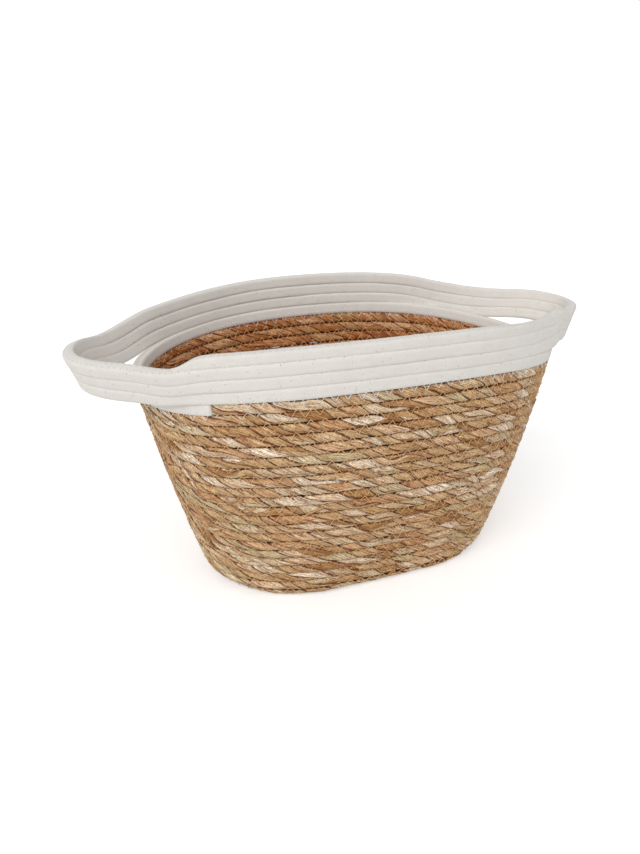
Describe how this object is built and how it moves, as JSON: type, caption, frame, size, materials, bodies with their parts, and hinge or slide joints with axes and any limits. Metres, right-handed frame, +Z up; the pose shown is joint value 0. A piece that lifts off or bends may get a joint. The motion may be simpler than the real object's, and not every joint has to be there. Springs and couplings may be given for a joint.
{
  "type": "oval coiled basket",
  "caption": "Open oval storage basket of coiled, zigzag-sewn rope: straw floor and flaring wall, pale cotton rim that bows out into a hand loop at each end.",
  "frame": {"origin": "under the middle of the basket's box, on the surface that it stands on", "axes": "+X along the oval's length, from handle to handle; +Y across it; +Z up out of the mouth"},
  "size_m": [0.4166, 0.2232, 0.2007],
  "materials": {
    "straw_rope": "twisted straw blades, dry and slightly glossy, cream, tan, olive and red-brown",
    "cotton_rope": "matte braided cotton cord with small brown flecks",
    "gold_thread": "twisted polyester sewing thread, slightly glossy",
    "white_thread": "twisted polyester sewing thread, slightly glossy"
  },
  "bodies": {
    "root": {"floor_coil": "straw_rope", "wall_coil": "straw_rope", "rim_and_handle_rope": "cotton_rope", "floor_seam_thread": "gold_thread", "wall_seam_thread": "gold_thread", "border_seam_thread": "white_thread", "rim_seam_thread_back": "white_thread", "rim_seam_thread_front": "white_thread", "handle_seam_thread": "white_thread"}
  },
  "joints": []
}
